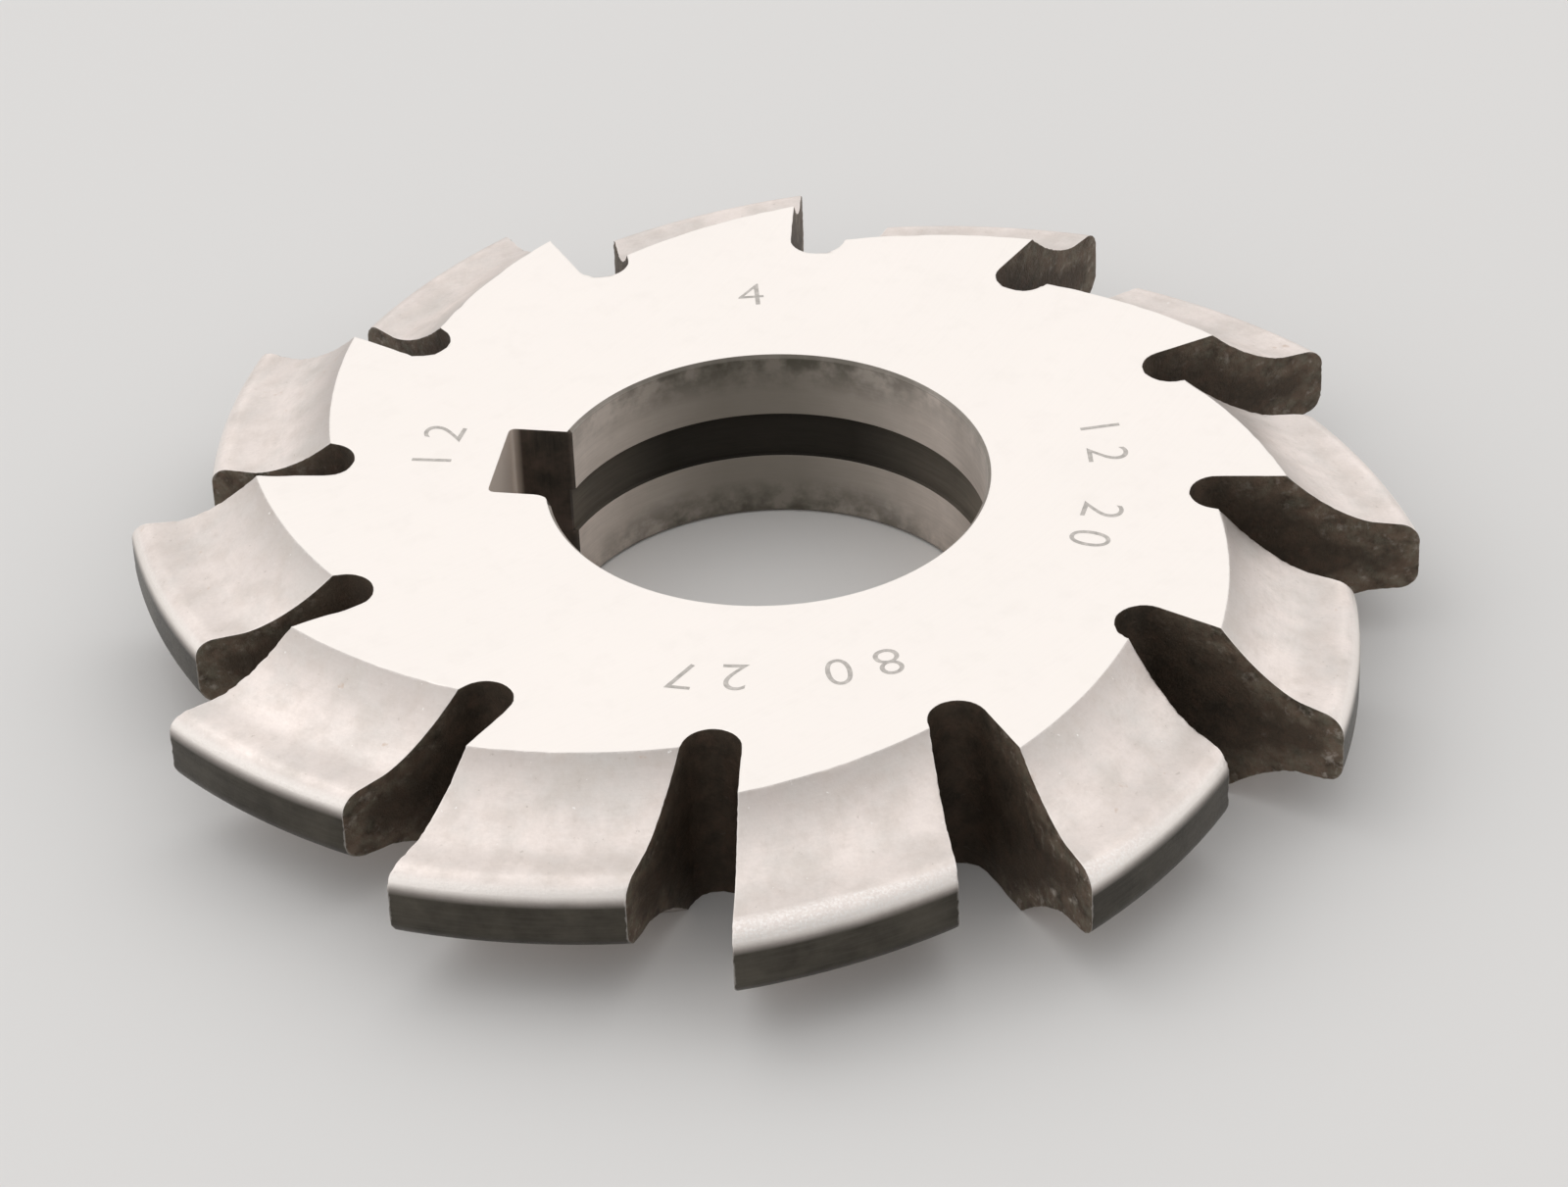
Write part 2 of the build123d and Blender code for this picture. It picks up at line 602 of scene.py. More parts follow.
def tool_lines_group():
    """Fine lines that a tool or wheel leaves. They run along what the vector leaves slow."""
    takes = [("Vector", VECTOR, None), ("Scale", NUMBER, 6.0)]
    gives = [("Height", NUMBER), ("Tone", NUMBER)]
    tree, start, end = new_group("tool_lines", "ShaderNodeTree", takes, gives)
    coarse = {"Vector": start["Vector"], "Scale": start["Scale"], "Detail": 3.0, "Roughness": 0.7}
    lines = put(tree, "ShaderNodeTexNoise", coarse).outputs["Fac"]
    fine = {"Vector": start["Vector"], "Scale": times(tree, start["Scale"], 3.3)}
    scratches = put(tree, "ShaderNodeTexNoise", fine).outputs["Fac"]
    both = mixed(tree, 0.3, lines, scratches)
    tree.links.new(both, end["Height"])
    tree.links.new(ranged(tree, both, 0.35, 0.65), end["Tone"])
    return tree


def stains_group():
    """Soft-edged patches such as stains, oil film, oxide or small flecks."""
    takes = [("Vector", VECTOR, None), ("Scale", NUMBER, 1.0)]
    takes += [("Coverage", NUMBER, 0.4), ("Softness", NUMBER, 0.1)]
    tree, start, end = new_group("stains", "ShaderNodeTree", takes, [("Mask", NUMBER)])
    broad = {"Vector": start["Vector"], "Scale": start["Scale"], "Detail": 4.0, "Roughness": 0.6}
    noise = put(tree, "ShaderNodeTexNoise", broad).outputs["Fac"]
    middle = ranged(tree, start["Coverage"], 0.0, 1.0, 0.72, 0.28)
    low = maths(tree, "SUBTRACT", middle, start["Softness"])
    high = maths(tree, "ADD", middle, start["Softness"])
    tree.links.new(ranged(tree, noise, low, high), end["Mask"])
    return tree


def edge_wear_group():
    """Mask along sharp edges, broken up by noise. It reads how far each point is from an edge."""
    takes = [("Vector", VECTOR, None), ("Width", NUMBER, 0.2)]
    takes += [("Scale", NUMBER, 2.0), ("Breakup", NUMBER, 0.5)]
    tree, start, end = new_group("edge_wear", "ShaderNodeTree", takes, [("Mask", NUMBER)])
    stored = put(tree, "ShaderNodeAttribute", attribute_name="from_edge").outputs["Fac"]
    distance = maths(tree, "DIVIDE", stored, MM)
    wave = {"Vector": start["Vector"], "Scale": start["Scale"], "Detail": 4.0}
    noise = put(tree, "ShaderNodeTexNoise", wave).outputs["Fac"]
    loss = times(tree, ranged(tree, noise, 0.35, 0.65), start["Breakup"])
    width = times(tree, start["Width"], maths(tree, "SUBTRACT", 1.0, loss))
    tree.links.new(ranged(tree, distance, width, 0.0), end["Mask"])
    return tree


def grain_group():
    """Fine metal grain, for tone and for bump."""
    takes = [("Vector", VECTOR, None), ("Scale", NUMBER, 8.0)]
    gives = [("Tone", NUMBER), ("Height", NUMBER)]
    tree, start, end = new_group("grain", "ShaderNodeTree", takes, gives)
    settings = {"Vector": start["Vector"], "Scale": start["Scale"], "Detail": 6.0, "Roughness": 0.65}
    noise = put(tree, "ShaderNodeTexNoise", settings).outputs["Fac"]
    tree.links.new(ranged(tree, noise, 0.3, 0.7), end["Tone"])
    tree.links.new(noise, end["Height"])
    return tree


def put_group(tree, name, inputs=None):
    """Places one of the shared groups and gives its outputs."""
    return put(tree, "ShaderNodeGroup", inputs, node_tree=bpy.data.node_groups[name]).outputs


def stains(tree, vector, scale, coverage, softness=0.1):
    """Mask of the shared stains with its own values."""
    values = {"Vector": vector, "Scale": scale, "Coverage": coverage, "Softness": softness}
    return put_group(tree, "stains", values)["Mask"]


def edge_wear(tree, vector, width, scale, breakup):
    """Mask of the shared edge wear with its own values, its width in millimetres."""
    values = {"Vector": vector, "Width": width, "Scale": scale, "Breakup": breakup}
    return put_group(tree, "edge_wear", values)["Mask"]


def stretched(tree, vector, factors):
    """The vector stretched by a factor along each axis."""
    return put(tree, "ShaderNodeVectorMath", {0: vector, 1: factors}, operation="MULTIPLY").outputs[0]


def tool_lines(tree, vector, scale):
    """Height and tone of the shared tool lines."""
    return put_group(tree, "tool_lines", {"Vector": vector, "Scale": scale})


def round_lines(tree, place, scale):
    """Tool lines that run round the bore's axis."""
    return tool_lines(tree, stretched(tree, place, (0.05, 0.05, 1)), scale)


def metal_grain(tree, place, scale):
    """Tone and height of the shared grain."""
    return put_group(tree, "grain", {"Vector": place, "Scale": scale})


def length(tree, vector):
    """Length of a vector."""
    return put(tree, "ShaderNodeVectorMath", {0: vector}, operation="LENGTH").outputs["Value"]


def steel(name, roughness, metallic=1.0, specular=0.5):
    """Material with a steel shader, its tree, the shader and the place on the cutter in millimetres."""
    material = bpy.data.materials.new(name)
    material.use_nodes = True
    tree = material.node_tree
    shader = tree.nodes["Principled BSDF"]
    shader.inputs["Metallic"].default_value = metallic
    shader.inputs["Roughness"].default_value = roughness
    shader.inputs["Specular IOR Level"].default_value = specular
    place = tree.nodes.new("ShaderNodeTexCoord").outputs["Object"]
    return material, tree, shader, stretched(tree, place, (1 / MM, 1 / MM, 1 / MM))


def along_axis(tree, vector, axis):
    """One axis of a vector."""
    return put(tree, "ShaderNodeSeparateXYZ", {0: vector}).outputs[axis]


def height_on(tree, place):
    """Distance from the middle of the cutter's width."""
    return maths(tree, "ABSOLUTE", along_axis(tree, place, "Z"))


def coloured(tree, shader, colour, *layers):
    """Joins a colour to the shader under layers, each a mask, its strength and its colour."""
    for mask, strength, tint in layers:
        colour = blend(tree, times(tree, mask, strength), colour, tint)
    tree.links.new(colour, shader.inputs["Base Color"])


def roughened(tree, shader, tone, low, high):
    """Lets the shader's roughness follow a tone from one value to another."""
    tree.links.new(ranged(tree, tone, 0.0, 1.0, low, high), shader.inputs["Roughness"])


def bumped(tree, shader, height, depth, strength=1.0):
    """Joins a height, with its depth in millimetres, to the shader's normal."""
    inputs = {"Height": height, "Distance": depth * MM, "Strength": strength}
    tree.links.new(put(tree, "ShaderNodeBump", inputs).outputs["Normal"], shader.inputs["Normal"])


def brushed_round(tree, shader, amount):
    """Spreads the reflections of a wall that was ground round the bore's axis."""
    tangent = put(tree, "ShaderNodeTangent", direction_type="RADIAL", axis="Z").outputs[0]
    tree.links.new(tangent, shader.inputs["Tangent"])
    shader.inputs["Anisotropic"].default_value = amount
    shader.inputs["Anisotropic Rotation"].default_value = 0.25


def toward(tree, place, angle, near, far):
    """Mask that grows from one distance to another along an angle of the plan."""
    along = (cos(radians(angle)), sin(radians(angle)), 0)
    reach = put(tree, "ShaderNodeVectorMath", {0: place, 1: along}, operation="DOT_PRODUCT")
    return ranged(tree, reach.outputs["Value"], near, far)


def ground_side_material():
    """Surface-ground side face: near white, with very faint swept lines."""
    material, tree, shader, place = steel("ground_side", 0.3)
    # The wheel sweeps over the face in wide arcs about a far centre
    wheel_centre = (-70, 45, 0)
    from_wheel = put(tree, "ShaderNodeVectorMath", {0: place, 1: wheel_centre}, operation="SUBTRACT")
    across = put(tree, "ShaderNodeCombineXYZ", {"X": length(tree, from_wheel.outputs[0])}).outputs[0]
    lines = tool_lines(tree, across, 5.0)
    cloud = stains(tree, place, 0.09, 0.5, 0.3)
    film = stains(tree, place, 0.6, 0.2)
    wear = edge_wear(tree, place, 0.11, 3.0, 0.7)
    coloured(
        tree,
        shader,
        (0.95, 0.89, 0.845),
        (cloud, 1.0, (0.92, 0.865, 0.82)),
        (lines["Tone"], 0.25, (0.86, 0.81, 0.77)),
        (film, 0.12, (0.76, 0.71, 0.66)),
        (wear, 0.35, (0.62, 0.59, 0.56)),
    )
    roughened(tree, shader, lines["Tone"], 0.28, 0.36)
    bumped(tree, shader, lines["Height"], 0.004, 0.35)
    return material


def relieved_flank_material():
    """Relief-turned flank: satin and mottled, with painted shade under the side faces, burnish and painted
    highlight on the tip's round, and painted shade on the tip land.
    """
    material, tree, shader, place = steel("relieved_flank", 0.38)
    lines = round_lines(tree, place, 5.0)
    grain = metal_grain(tree, place, 5.0)
    chatter = tool_lines(tree, place, 5.0)

    # Bands at set heights above the middle of the width: painted shade on the tip land, a painted shade line
    # where the round begins, and a painted highlight streak low on the round
    level = along_axis(tree, place, "Z")
    tip_painted_shade = band(tree, level, (1.65, 0.82), (-3.0, -2.2))
    round_start_painted_shade = band(tree, level, (2.9, 2.55), (2.38, 2.43))
    painted_highlight_streak = band(tree, level, (2.15, 1.85), (1.2, 1.45))

    # The burnish and its painted highlight are sharper, with more painted glints, on the tooth at the front
    most = toward(tree, place, burnished_highlit_tooth_angle, 33.0, 37.0)
    painted_glints = times(tree, ranged(tree, level, 1.4, 1.65), stains(tree, place, 6.0, 0.36))
    painted_glints = times(tree, painted_glints, mixed(tree, most, 0.25, 1.0))
    under_top = maths(tree, "SUBTRACT", mixed(tree, most, 2.25, 2.43), level)
    below_top = ranged(tree, under_top, 0.0, mixed(tree, most, 0.25, 0.05))
    burnish_and_highlight = times(tree, below_top, ranged(tree, level, 0.8, 1.6))
    coloured(
        tree,
        shader,
        (0.93, 0.838, 0.79),
        # Darker toward the side faces: painted shade on the steep upper flank
        (ranged(tree, height_on(tree, place), 3.6, 6.0), 1.0, (0.58, 0.525, 0.495)),
        (stains(tree, place, 0.13, 0.5, 0.15), 0.45, (0.64, 0.58, 0.55)),
        (stains(tree, place, 0.28, 0.4, 0.12), 0.45, (0.64, 0.62, 0.59)),
        (lines["Tone"], 0.08, (0.4, 0.36, 0.33)),
        (stains(tree, place, 0.55, 0.4), 0.25, (0.55, 0.47, 0.41)),
        (stains(tree, place, 1.4, 0.25), 0.12, (0.42, 0.36, 0.31)),
        (stains(tree, place, 2.2, 0.03, 0.03), 0.35, (0.3, 0.26, 0.22)),
        # Tiny white specks: painted glints
        (stains(tree, place, 2.7, 0.0, 0.03), 0.7, (1.0, 0.98, 0.96)),
        (grain["Tone"], 0.12, (0.48, 0.44, 0.41)),
        (stains(tree, place, 0.5, -0.1, 0.03), 0.4, (0.5, 0.32, 0.2)),
        # Painted shade line where the round begins
        (round_start_painted_shade, 0.2, (0.5, 0.45, 0.42)),
        # Band on the round: partly real burnish, partly painted highlight
        (burnish_and_highlight, 0.6, (0.88, 0.81, 0.77)),
        (times(tree, burnish_and_highlight, chatter["Tone"]), 0.25, (0.6, 0.55, 0.52)),
        # Painted highlight streak on the round
        (painted_highlight_streak, 0.6, (1.0, 0.95, 0.9)),
        # Painted glints in the band on the round
        (times(tree, burnish_and_highlight, painted_glints), 0.6, (1.0, 0.98, 0.96)),
        # Dark tip land: painted shade, with stains and lines varying it
        (tip_painted_shade, 1.0, (0.048, 0.043, 0.035)),
        (times(tree, tip_painted_shade, stains(tree, place, 0.3, 0.45, 0.15)), 0.5, (0.13, 0.117, 0.095)),
        (times(tree, tip_painted_shade, lines["Tone"]), 0.25, (0.14, 0.13, 0.114)),
        (edge_wear(tree, place, 0.16, 2.5, 0.8), 0.35, (0.9, 0.86, 0.83)),
    )
    roughened(tree, shader, grain["Tone"], 0.34, 0.46)
    marks = times(tree, burnish_and_highlight, stains(tree, place, 0.1, 0.6))
    shaken = times(tree, chatter["Height"], times(tree, marks, 2.5))
    relief = maths(tree, "ADD", mixed(tree, 0.4, grain["Height"], lines["Height"]), shaken)
    bumped(tree, shader, relief, 0.03, 0.5)
    return material


def gash_wall_material():
    """Gash and cutting face: black brown, rough, scuffed light near the rim."""
    material, tree, shader, place = steel("gash_wall", 0.6, metallic=0.35, specular=0.25)
    grain = metal_grain(tree, place, 3.5)
    radius = length(tree, stretched(tree, place, (1, 1, 0)))
    outer = ranged(tree, radius, 27.0, 33.0)
    near_rim = times(tree, edge_wear(tree, place, 3.4, 0.5, 0.6), outer)
    scuffed = times(tree, near_rim, 1.7, clamp=True)
    flat = stretched(tree, place, (0.8, 0.8, 0.9))
    most = mixed(tree, toward(tree, place, scuffed_face_angle, 28.0, 33.0), 0.45, 1.0)
    flecks = times(tree, stains(tree, flat, 1.6, 0.16, 0.08), most)
    coloured(
        tree,
        shader,
        (0.036, 0.028, 0.02),
        (stains(tree, place, 0.5, 0.5, 0.15), 1.0, (0.088, 0.063, 0.044)),
        (stains(tree, place, 1.1, 0.3), 0.5, (0.12, 0.072, 0.05)),
        (grain["Tone"], 0.35, (0.11, 0.086, 0.064)),
        (times(tree, scuffed, stains(tree, flat, 0.9, 0.55, 0.12)), 0.8, (0.19, 0.137, 0.1)),
        (times(tree, scuffed, stains(tree, flat, 1.7, 0.4, 0.12)), 0.5, (0.19, 0.18, 0.135)),
        (times(tree, scuffed, flecks), 1.0, (0.46, 0.41, 0.36)),
        (stains(tree, flat, 1.8, 0.0, 0.08), 0.4, (0.22, 0.2, 0.175)),
        (edge_wear(tree, place, 0.12, 3.0, 0.9), 0.5, (0.42, 0.39, 0.35)),
    )
    roughened(tree, shader, grain["Tone"], 0.5, 0.72)
    bumped(tree, shader, grain["Height"], 0.12, 0.8)
    return material


def bore_land_material():
    """Ground land of the bore: pale brown, with painted shade on its far side, and oily toward its mouth."""
    material, tree, shader, place = steel("bore_land", 0.5)
    brushed_round(tree, shader, 0.9)
    lines = round_lines(tree, place, 6.0)
    height = height_on(tree, place)
    near_mouth = ranged(tree, height, 3.2, 5.6)
    far_side_painted_shade = toward(tree, place, painted_shade_wall_angle, 7.5, 13.3)
    oily = times(tree, stains(tree, place, 0.5, 0.55), near_mouth)
    coloured(
        tree,
        shader,
        (0.92, 0.83, 0.76),
        (lines["Tone"], 0.35, (0.6, 0.53, 0.475)),
        (stains(tree, place, 0.32, 0.5, 0.12), 0.2, (0.5, 0.43, 0.375)),
        # Painted shade on the bore's far side, darker still under the oil stains there
        (far_side_painted_shade, 0.9, (0.22, 0.2, 0.168)),
        (times(tree, oily, far_side_painted_shade), 0.85, (0.08, 0.075, 0.058)),
        (oily, 0.3, (0.16, 0.15, 0.12)),
        (ranged(tree, height, 5.7, 5.85), 0.7, (0.2, 0.18, 0.155)),
    )
    bumped(tree, shader, lines["Height"], 0.012, 0.6)
    return material


def bore_recess_material():
    """Recess between the lands: left brown from hardening, with painted black shade on its far side."""
    material, tree, shader, place = steel("bore_recess", 0.6, metallic=0.9, specular=0.2)
    brushed_round(tree, shader, 0.9)
    lines = round_lines(tree, place, 3.0)
    far_side_painted_shade = toward(tree, place, painted_shade_wall_angle, 2.0, 12.5)
    coloured(
        tree,
        shader,
        (0.25, 0.22, 0.18),
        (lines["Tone"], 1.0, (0.36, 0.32, 0.265)),
        (stains(tree, place, 0.4, 0.4, 0.2), 0.4, (0.45, 0.38, 0.31)),
        # Painted black shade on the far side
        (far_side_painted_shade, 0.95, (0.02, 0.018, 0.015)),
    )
    bumped(tree, shader, lines["Height"], 0.04, 0.8)
    return material


def keyway_wall_material():
    """Broached keyway: dark brown, lighter on its floor, with lines along the bore."""
    material, tree, shader, place = steel("keyway_wall", 0.5, metallic=0.6, specular=0.3)
    lines = tool_lines(tree, stretched(tree, place, (1, 1, 0.06)), 4.0)
    floor = ranged(tree, along_axis(tree, place, "X"), keyway_floor + 0.7, keyway_floor)
    coloured(
        tree,
        shader,
        (0.04, 0.036, 0.029),
        (lines["Tone"], 0.8, (0.075, 0.063, 0.052)),
        (stains(tree, place, 0.5, 0.45, 0.12), 0.7, (0.13, 0.098, 0.08)),
        (floor, 0.9, (0.92, 0.81, 0.72)),
    )
    bumped(tree, shader, lines["Height"], 0.03, 0.7)
    return material


def pressed_number_material():
    """Pressed numbers: grey against the ground face, partly their own tone and partly painted shade in their
    impressions.
    """
    material, tree, shader, place = steel("pressed_number", 0.5)
    grain = metal_grain(tree, place, 2.5)
    # Grey: partly the digits' own tone, partly painted shade inside the pressed strokes
    coloured(tree, shader, (0.4, 0.375, 0.35), (grain["Tone"], 1.0, (0.66, 0.62, 0.585)))
    bumped(tree, shader, grain["Height"], 0.02, 0.5)
    return material


def ring_of_teeth(tree, start):
    """The tooth set round the bore in even steps and welded to the hub."""
    centres = put(tree, "GeometryNodeMeshLine", {"Count": start["Teeth"], "Offset": (0, 0, 0)})
    step = maths(tree, "DIVIDE", 2 * pi, start["Teeth"])
    index = tree.nodes.new("GeometryNodeInputIndex").outputs[0]
    turn = maths(tree, "ADD", times(tree, index, step), start["First Face Angle"])
    rotation = put(tree, "ShaderNodeCombineXYZ", {"Z": turn}).outputs[0]
    inputs = {"Points": centres.outputs["Mesh"], "Instance": start["Tooth"], "Rotation": rotation}
    ring = put(tree, "GeometryNodeInstanceOnPoints", inputs).outputs["Instances"]
    ring = put(tree, "GeometryNodeRealizeInstances", {0: ring}).outputs[0]
    hub = put(tree, "GeometryNodeObjectInfo", {"Object": start["Hub"]}).outputs["Geometry"]
    joined = tree.nodes.new("GeometryNodeJoinGeometry")
    tree.links.new(ring, joined.inputs[0])
    tree.links.new(hub, joined.inputs[0])
    inputs = {"Geometry": joined.outputs[0], "Distance": start["Weld"]}
    return put(tree, "GeometryNodeMergeByDistance", inputs).outputs["Geometry"]


def with_edge_distance(tree, start, whole):
    """The cutter with each point's distance from a sharp edge kept on it, and that distance."""
    angle = tree.nodes.new("GeometryNodeInputMeshEdgeAngle").outputs["Unsigned Angle"]
    sharp = maths(tree, "GREATER_THAN", angle, start["Sharp Angle"])
    edges = put(tree, "GeometryNodeSeparateGeometry", {"Geometry": whole, "Selection": sharp}, domain="EDGE")
    near = put(tree, "GeometryNodeProximity", {0: edges.outputs["Selection"]}, target_element="EDGES")
    distance = near.outputs["Distance"]
    stored = {"Geometry": whole, "Name": "from_edge", "Value": distance}
    kept = put(tree, "GeometryNodeStoreNamedAttribute", stored, data_type="FLOAT", domain="POINT")
    return kept.outputs[0], distance


def nicked(tree, start, whole, distance):
    """The cutter with small nicks pressed into the sharp edges of its teeth."""
    place = tree.nodes.new("GeometryNodeInputPosition").outputs[0]
    wave = {"Vector": place, "W": start["Seed"], "Scale": start["Nick Scale"], "Detail": 3.0}
    noise = put(tree, "ShaderNodeTexNoise", wave, noise_dimensions="4D").outputs["Fac"]
    outside = maths(tree, "GREATER_THAN", length(tree, place), start["Nicks From"])
    bite = times(tree, ranged(tree, noise, 0.48, 0.72), outside)
    reach = ranged(tree, distance, start["Nick Reach"], 0.0)
    depth = times(tree, times(tree, bite, reach), start["Nick Depth"])
    normal = tree.nodes.new("GeometryNodeInputNormal").outputs[0]
    inward = {0: normal, "Scale": times(tree, depth, -1.0)}
    shift = put(tree, "ShaderNodeVectorMath", inward, operation="SCALE").outputs["Vector"]
    return put(tree, "GeometryNodeSetPosition", {"Geometry": whole, "Offset": shift}).outputs[0]


def finished(tree, whole, finishes):
    """The cutter with the material of each finish on the faces that hold its number."""
    for number, material in enumerate(finishes):
        finish = put(tree, "GeometryNodeInputNamedAttribute", {"Name": "finish"}, data_type="INT")
        pair = {2: finish.outputs[0], 3: number}
        same = put(tree, "FunctionNodeCompare", pair, data_type="INT", operation="EQUAL")
        inputs = {"Geometry": whole, "Selection": same.outputs[0], "Material": material}
        whole = put(tree, "GeometryNodeSetMaterial", inputs).outputs[0]
    return whole


def cutter_tree(finishes):
    """Geometry nodes that make the cutter of its tooth and hub, nick its edges and finish it."""
    takes = [("Tooth", GEOMETRY, None), ("Hub", "NodeSocketObject", None), ("Teeth", WHOLE, tooth_count)]
    sizes = ["First Face Angle", "Weld", "Sharp Angle"]
    sizes += ["Nick Depth", "Nick Reach", "Nick Scale", "Nicks From", "Seed"]
    takes += [(size, NUMBER, 0.0) for size in sizes]
    tree, start, end = new_group("cutter_ring", "GeometryNodeTree", takes, [("Cutter", GEOMETRY)])
    whole, distance = with_edge_distance(tree, start, ring_of_teeth(tree, start))
    whole = finished(tree, nicked(tree, start, whole, distance), finishes)
    tree.links.new(whole, end["Cutter"])
    return tree


def new_object(name, data):
    """Object of the scene with that mesh, curve or light."""
    made = bpy.data.objects.new(name, data)
    bpy.context.scene.collection.objects.link(made)
    return made


def evaluated_mesh(made, name):
    """Mesh of an object with its modifiers applied."""
    depsgraph = bpy.context.evaluated_depsgraph_get()
    mesh = bpy.data.meshes.new_from_object(made.evaluated_get(depsgraph), depsgraph=depsgraph)
    mesh.name = name
    return mesh


def cutter_body():
    """The whole cutter as one closed mesh."""
    finishes = [
        ground_side_material(),
        relieved_flank_material(),
        gash_wall_material(),
        bore_land_material(),
        bore_recess_material(),
        keyway_wall_material(),
    ]
    tree = cutter_tree(finishes)
    tooth = new_object("tooth_pattern", tooth_mesh())
    hub = new_object("hub_pattern", hub_mesh())
    for pattern in (tooth, hub):
        pattern.data.materials.append(finishes[GROUND_SIDE])
    values = {
        "Hub": hub,
        "Teeth": tooth_count,
        "First Face Angle": radians(first_face_angle),
        "Weld": weld_distance * MM,
        "Sharp Angle": radians(sharp_angle),
        "Nick Depth": nick_depth * MM,
        "Nick Reach": nick_reach * MM,
        "Nick Scale": nick_scale / MM,
        "Nicks From": nicks_from * MM,
        "Seed": nick_seed,
    }
    ring = tooth.modifiers.new("ring", "NODES")
    ring.node_group = tree
    for item in tree.interface.items_tree:
        if item.in_out == "INPUT" and item.name in values:
            ring[item.identifier] = values[item.name]
    soften = tooth.modifiers.new("soften", "BEVEL")
    soften.width = edge_round * MM
    soften.segments = edge_round_steps
    soften.limit_method = "ANGLE"
    soften.angle_limit = radians(sharp_angle)
    shading = tooth.modifiers.new("shading", "WEIGHTED_NORMAL")
    shading.keep_sharp = False
    body = new_object("cutter_body", evaluated_mesh(tooth, "cutter_body"))
    bpy.data.objects.remove(tooth)
    bpy.data.objects.remove(hub)
    return body


def number_stamp(digit):
    """Flat mesh of one digit, in millimetres about its own middle."""
    curve = bpy.data.curves.new("digit", "FONT")
    curve.body = digit
    curve.size = digit_height / digit_height_in_font
    curve.offset = -stroke_trim
    curve.align_x = "CENTER"
    curve.align_y = "CENTER"
    curve.fill_mode = "FRONT"
    stamp = new_object("digit", curve)
    flat = evaluated_mesh(stamp, "digit")
    bpy.data.objects.remove(stamp)
    return flat


def size_numbers():
    """Plain size numbers, pressed digit by digit round the upper side face, as one flat piece."""
    hand = random.Random(digit_seed)
    vertices = []
    faces = []
    for text, middle_angle in number_places:
        for index, digit in enumerate(text):
            if digit == " ":
                continue
            angle = middle_angle - digit_step * (index - (len(text) - 1) / 2)
            drift = hand.uniform(-digit_drift, digit_drift)
            place = Vector((0, number_radius + drift, half_width + number_lift))
            tilt = Matrix.Rotation(radians(hand.uniform(-digit_tilt, digit_tilt)), 4, "Z")
            spin = Matrix.Rotation(radians(angle - 90), 4, "Z")
            flat = number_stamp(digit)
            start = len(vertices)
            vertices += [spin @ (tilt @ vertex.co + place) * MM for vertex in flat.vertices]
            faces += [[start + corner for corner in polygon.vertices] for polygon in flat.polygons]
    mesh = bpy.data.meshes.new("size_numbers")
    mesh.from_pydata(vertices, [], faces)
    mesh.materials.append(pressed_number_material())
    return new_object("size_numbers", mesh)


def studio_floor():
    """Plain pale floor under the cutter."""
    material = bpy.data.materials.new("pale_floor")
    material.use_nodes = True
    shader = material.node_tree.nodes["Principled BSDF"]
    shader.inputs["Base Color"].default_value = (0.72, 0.71, 0.7, 1.0)
    shader.inputs["Roughness"].default_value = 0.9
    shader.inputs["Specular IOR Level"].default_value = 0.2
    reach = floor_reach * MM
    level = cad_low.z - floor_gap * MM
    corners = [(x * reach, y * reach, level) for x, y in ((-1, -1), (1, -1), (1, 1), (-1, 1))]
    mesh = bpy.data.meshes.new("studio_floor")
    mesh.from_pydata(corners, [], [(0, 1, 2, 3)])
    mesh.materials.append(material)
    floor = new_object("studio_floor", mesh)


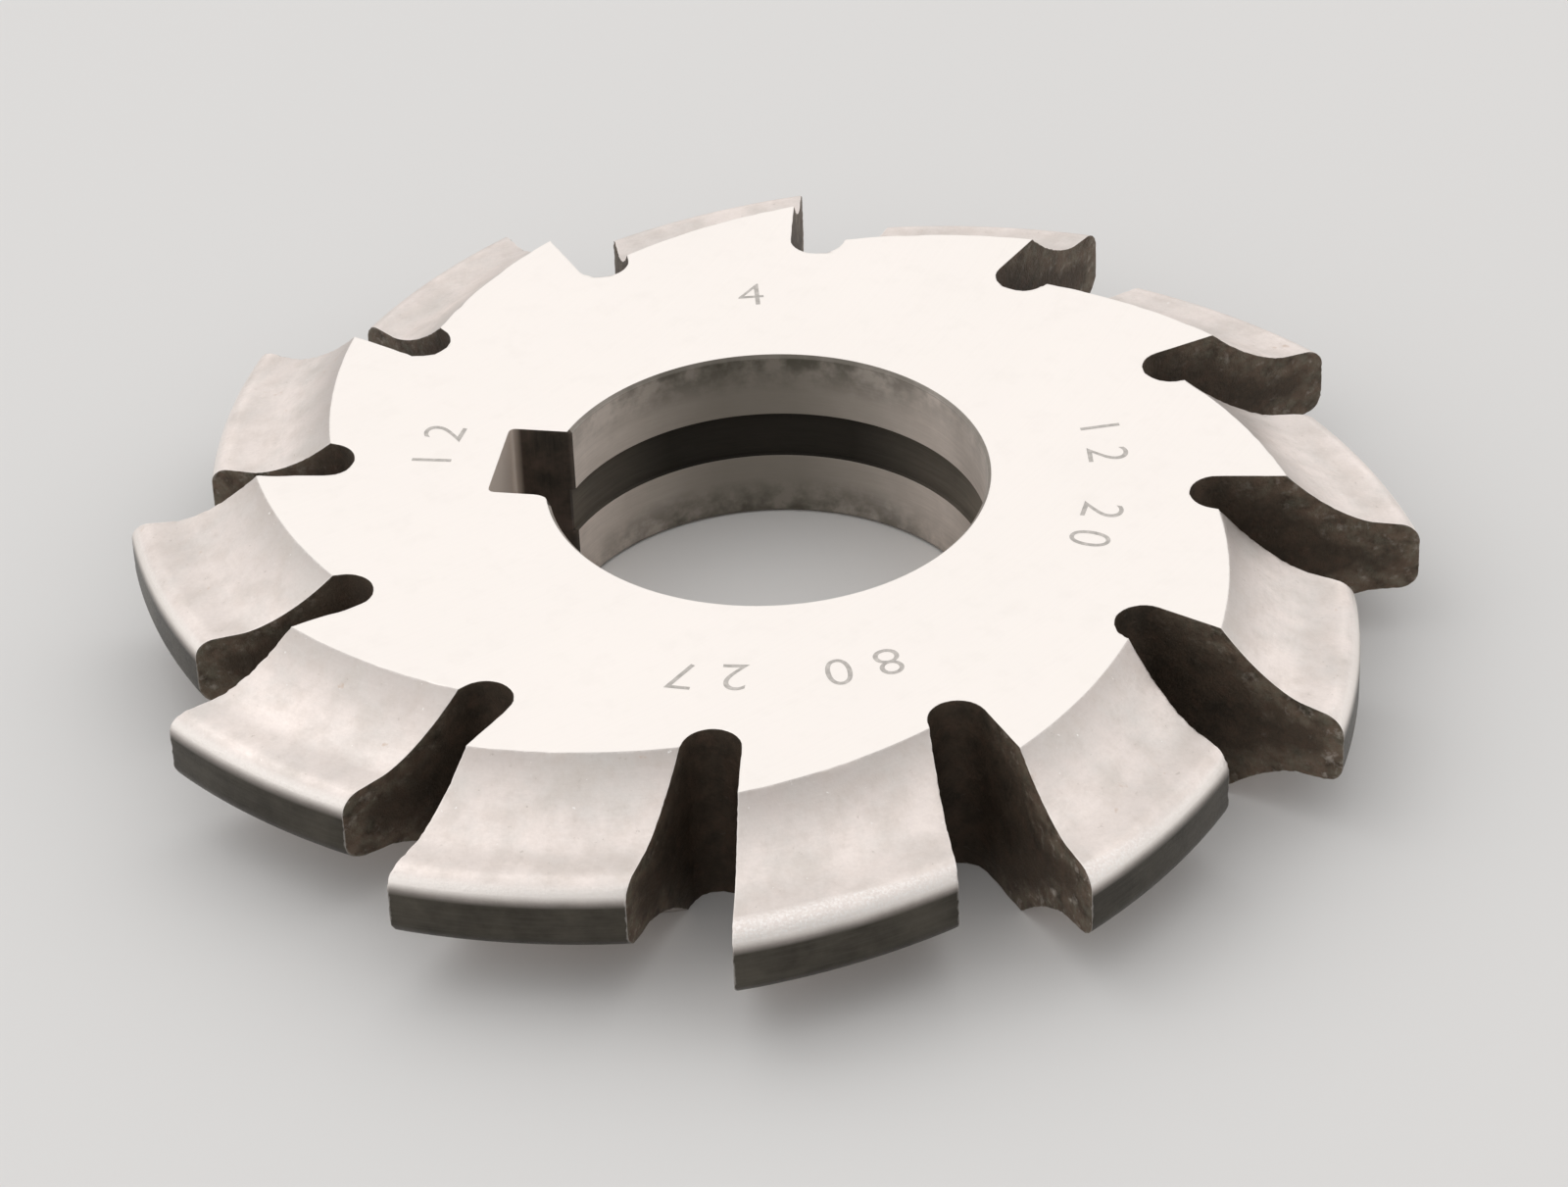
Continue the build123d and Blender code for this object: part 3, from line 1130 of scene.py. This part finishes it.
def studio_world():
    """Pale surroundings, a little brighter overhead and dimmer at the front right."""
    world = bpy.data.worlds.new("studio")
    world.use_nodes = True
    tree = world.node_tree
    direction = tree.nodes.new("ShaderNodeTexCoord").outputs["Generated"]
    dim_side = (sin(radians(dim_side_turn)), -cos(radians(dim_side_turn)), 0)
    forward = put(tree, "ShaderNodeVectorMath", {0: direction, 1: dim_side}, operation="DOT_PRODUCT")
    by_height = ranged(tree, along_axis(tree, direction, "Z"), 0.0, 0.45, horizon_light, overhead_light)
    by_side = ranged(tree, forward.outputs["Value"], 0.3, 0.95, 1.0, dim_side_light)
    background = tree.nodes["Background"]
    background.inputs["Color"].default_value = (1.0, 0.995, 0.99, 1.0)
    tree.links.new(times(tree, by_height, by_side), background.inputs["Strength"])
    bpy.context.scene.world = world


def softbox(name, azimuth, elevation, distance, width, height, radiance):
    """Rectangular lamp that faces the cutter, from behind it at azimuth 0 and from its left at 90."""
    lamp = bpy.data.lights.new(name, "AREA")
    lamp.shape = "RECTANGLE"
    lamp.size = width
    lamp.size_y = height
    lamp.energy = radiance * pi * width * height
    turn = radians(azimuth + camera_turn)
    rise = radians(elevation)
    away = Vector((-sin(turn) * cos(rise), cos(turn) * cos(rise), sin(rise)))
    made = new_object(name, lamp)
    made.location = away * distance
    made.rotation_euler = away.to_track_quat("Z", "Y").to_euler()


def studio_camera():
    """Camera set by its angles and its distance from the middle of the upper side face."""
    rise = radians(camera_elevation)
    roll = radians(camera_roll)
    right = Vector((1, 0, 0))
    up = Vector((0, sin(rise), cos(rise)))
    back = Vector((0, -cos(rise), sin(rise)))
    x_axis = cos(roll) * right - sin(roll) * up
    y_axis = sin(roll) * right + cos(roll) * up
    target = Vector((0, 0, cad_high.z / MM))
    place = target - camera_aim[0] * x_axis - camera_aim[1] * y_axis + camera_distance * back
    axes = Matrix((x_axis, y_axis, back)).transposed().to_4x4()
    lens = bpy.data.cameras.new("camera")
    lens.sensor_width = sensor_width
    lens.lens = focal_pixels * sensor_width / image_width
    lens.clip_start = 0.01
    lens.clip_end = 20.0
    camera = new_object("camera", lens)
    turn = Matrix.Rotation(radians(camera_turn), 4, "Z")
    camera.matrix_world = turn @ Matrix.Translation(place * MM) @ axes
    bpy.context.scene.camera = camera


for make_group in (tool_lines_group, stains_group, edge_wear_group, grain_group):
    make_group()

body = cutter_body()
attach(body, "root")
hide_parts("gear_cutter")

numbers = size_numbers()
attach(numbers, "root")

studio_floor()
studio_world()
softbox("left_softbox", azimuth=60, elevation=60, distance=0.8, width=0.35, height=0.35, radiance=0.4)
studio_camera()
bpy.context.scene.view_settings.view_transform = "Standard"
